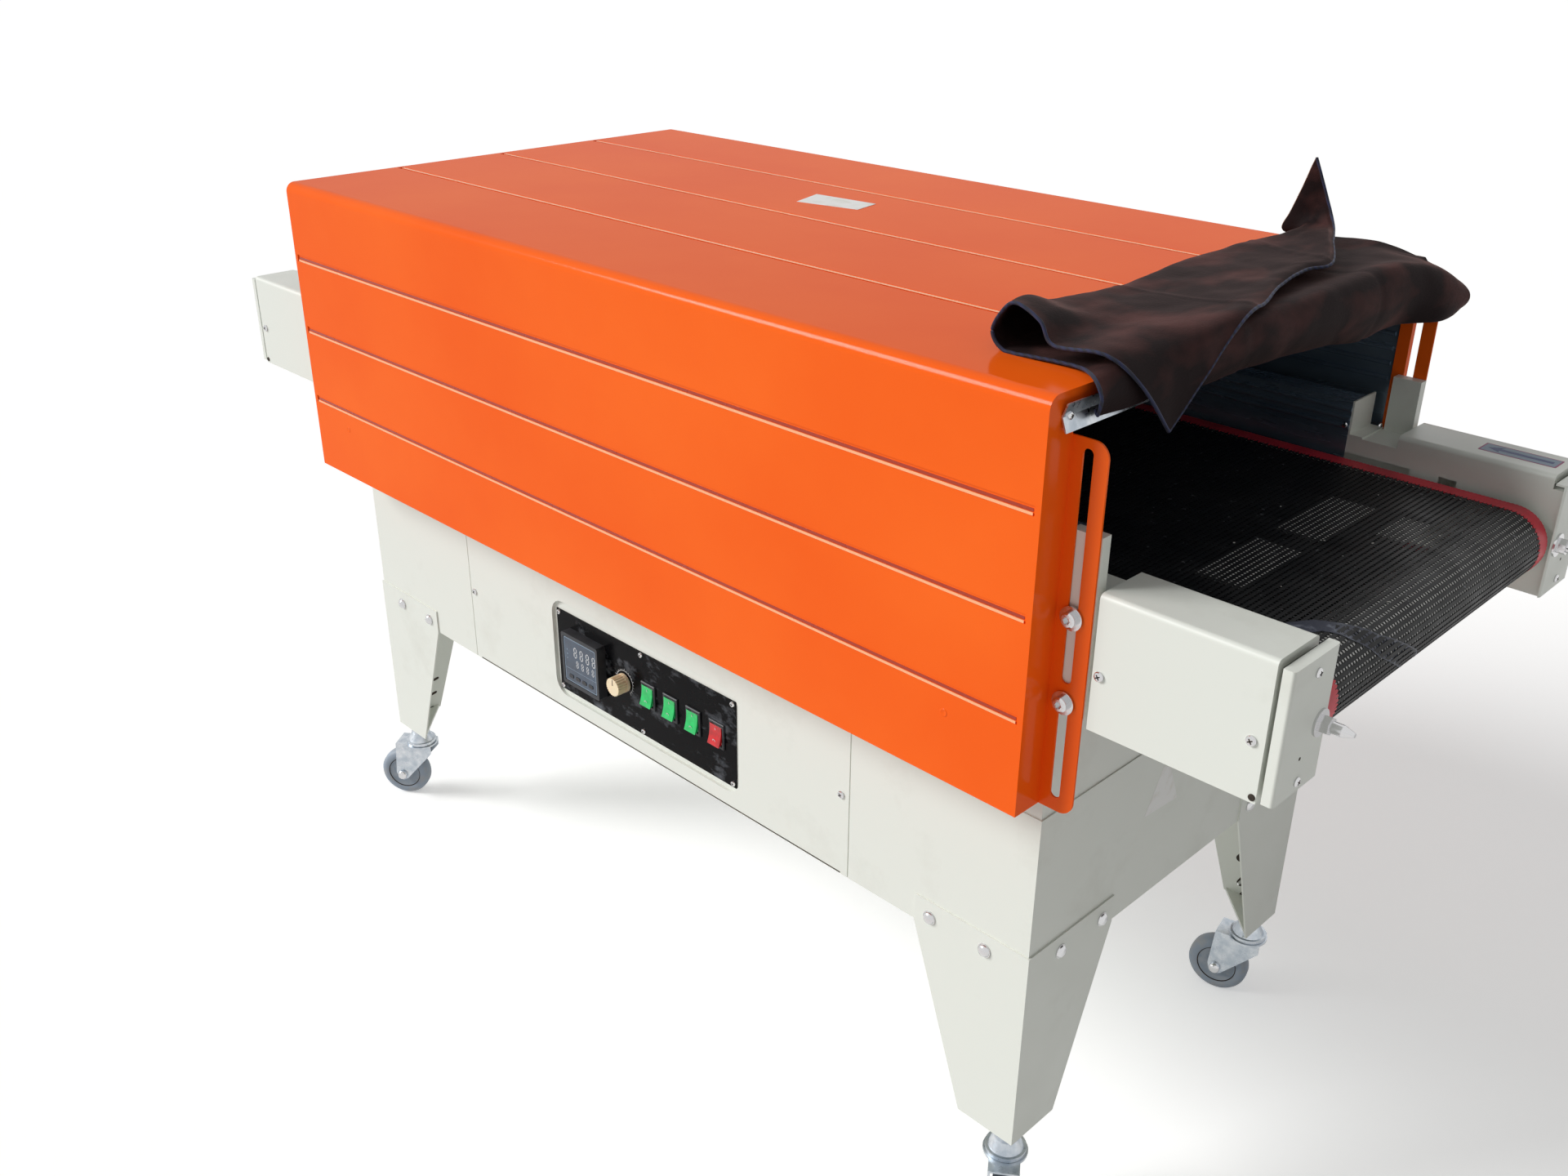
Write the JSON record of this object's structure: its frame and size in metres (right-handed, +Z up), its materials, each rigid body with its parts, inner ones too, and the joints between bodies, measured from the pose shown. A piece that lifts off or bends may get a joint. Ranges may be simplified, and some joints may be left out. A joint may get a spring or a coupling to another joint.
{
  "type": "infrared tunnel dryer",
  "caption": "Tunnel dryer on casters: an orange double-walled hood with slotted height ears over a mesh belt conveyor, a cream base with controls, and a velvet end curtain.",
  "frame": {"origin": "on the floor, under the middle of the hood", "axes": "+X along the conveyor towards the infeed end, -Y faces the operator and the control panel, +Z up"},
  "size_m": [1.653, 0.68, 1.0343],
  "materials": {
    "orange_powder_coat": "glossy",
    "cream_powder_coat": "fine texture, satin",
    "bright_liner_steel": "bright rolled, heat-darkened",
    "zinc_plate": "zinc plated",
    "plated_bolts": "bright plated",
    "roller_steel": "turned",
    "curtain_velvet": "cut pile",
    "belt_mesh": "open coated mesh",
    "black_gloss_plate": "gloss, scuffed",
    "black_plastic": "moulded",
    "ivory_plastic": "moulded",
    "green_key": "translucent moulded",
    "red_key": "translucent moulded",
    "grey_tyre": "moulded rubber"
  },
  "bodies": {
    "base": {"access_panel": "cream_powder_coat", "base_cabinet": "cream_powder_coat", "bearing_plates": "cream_powder_coat", "belt": "belt_mesh", "caster_stem_front_left": "zinc_plate", "caster_stem_front_right": "zinc_plate", "caster_stem_rear_left": "zinc_plate", "caster_stem_rear_right": "zinc_plate", "clamp_bolts": "plated_bolts", "control_plate": "black_gloss_plate", "ear_posts": "cream_powder_coat", "end_plate_front_left": "cream_powder_coat", "end_plate_front_right": "cream_powder_coat", "end_plate_rear_left": "cream_powder_coat", "end_plate_rear_right": "cream_powder_coat", "heat_shield_front": "bright_liner_steel", "heat_shield_rear": "bright_liner_steel", "knob_shaft": "roller_steel", "leg_front_left": "cream_powder_coat", "leg_front_right": "cream_powder_coat", "leg_rear_left": "cream_powder_coat", "leg_rear_right": "cream_powder_coat", "rail_cover_front_left": "cream_powder_coat", "rail_cover_front_right": "cream_powder_coat", "rail_cover_rear_left": "cream_powder_coat", "rail_cover_rear_right": "cream_powder_coat", "rail_front": "cream_powder_coat", "rail_rear": "cream_powder_coat", "rocker_housings": "black_plastic", "roller_left": "roller_steel", "roller_right": "roller_steel", "shield_brackets": "cream_powder_coat", "temperature_controller": "black_plastic", "tensioners": "plated_bolts", "tunnel_box": "cream_powder_coat"},
    "hood": {"hood_shell": "orange_powder_coat", "hood_liner": "bright_liner_steel", "clamp_strip_right": "zinc_plate", "clamp_strip_left": "zinc_plate", "curtain": "curtain_velvet"},
    "knob": {"speed_knob": "ivory_plastic"},
    "key_1": {"rocker_1": "green_key"},
    "key_2": {"rocker_2": "green_key"},
    "key_3": {"rocker_3": "green_key"},
    "key_4": {"rocker_4": "red_key"},
    "fork_front_left": {"caster_fork_front_left": "zinc_plate"},
    "wheel_front_left": {"caster_wheel_front_left": "grey_tyre"},
    "fork_front_right": {"caster_fork_front_right": "zinc_plate"},
    "wheel_front_right": {"caster_wheel_front_right": "grey_tyre"},
    "fork_rear_left": {"caster_fork_rear_left": "zinc_plate"},
    "wheel_rear_left": {"caster_wheel_rear_left": "grey_tyre"},
    "fork_rear_right": {"caster_fork_rear_right": "zinc_plate"},
    "wheel_rear_right": {"caster_wheel_rear_right": "grey_tyre"}
  },
  "joints": [
    {"name": "hood_height", "type": "slide", "parent": "base", "child": "hood", "axis": [0, 0, 1], "range_m": [0, 0.055]},
    {"name": "speed_knob_turn", "type": "hinge", "parent": "base", "child": "knob", "pos_m": [-0.026, -0.2665, 0.424], "axis": [0, 1, 0], "range_deg": [0, 270]},
    {"name": "rocker_1_tilt", "type": "hinge", "parent": "base", "child": "key_1", "pos_m": [0.02, -0.269, 0.424], "axis": [1, 0, 0], "range_deg": [0, 20]},
    {"name": "rocker_2_tilt", "type": "hinge", "parent": "base", "child": "key_2", "pos_m": [0.0605, -0.269, 0.424], "axis": [1, 0, 0], "range_deg": [0, 20]},
    {"name": "rocker_3_tilt", "type": "hinge", "parent": "base", "child": "key_3", "pos_m": [0.101, -0.269, 0.424], "axis": [1, 0, 0], "range_deg": [0, 20]},
    {"name": "rocker_4_tilt", "type": "hinge", "parent": "base", "child": "key_4", "pos_m": [0.1415, -0.269, 0.424], "axis": [1, 0, 0], "range_deg": [0, 20]},
    {"name": "caster_swivel_front_left", "type": "hinge", "parent": "base", "child": "fork_front_left", "pos_m": [-0.569, -0.25, 0.094], "axis": [0, 0, 1], "continuous": true},
    {"name": "wheel_spin_front_left", "type": "hinge", "parent": "fork_front_left", "child": "wheel_front_left", "pos_m": [-0.59357, -0.26721, 0.038], "axis": [0.5736, -0.8192, 0], "continuous": true},
    {"name": "caster_swivel_front_right", "type": "hinge", "parent": "base", "child": "fork_front_right", "pos_m": [0.569, -0.25, 0.094], "axis": [0, 0, 1], "continuous": true},
    {"name": "wheel_spin_front_right", "type": "hinge", "parent": "fork_front_right", "child": "wheel_front_right", "pos_m": [0.58621, -0.27458, 0.038], "axis": [0.8192, 0.5736, 0], "continuous": true},
    {"name": "caster_swivel_rear_left", "type": "hinge", "parent": "base", "child": "fork_rear_left", "pos_m": [-0.569, 0.25, 0.094], "axis": [0, 0, 1], "continuous": true},
    {"name": "wheel_spin_rear_left", "type": "hinge", "parent": "fork_rear_left", "child": "wheel_rear_left", "pos_m": [-0.59719, 0.26026, 0.038], "axis": [-0.342, -0.9397, 0], "continuous": true},
    {"name": "caster_swivel_rear_right", "type": "hinge", "parent": "base", "child": "fork_rear_right", "pos_m": [0.569, 0.25, 0.094], "axis": [0, 0, 1], "continuous": true},
    {"name": "wheel_spin_rear_right", "type": "hinge", "parent": "fork_rear_right", "child": "wheel_rear_right", "pos_m": [0.53966, 0.24376, 0.038], "axis": [0.2079, -0.9781, 0], "continuous": true}
  ]
}
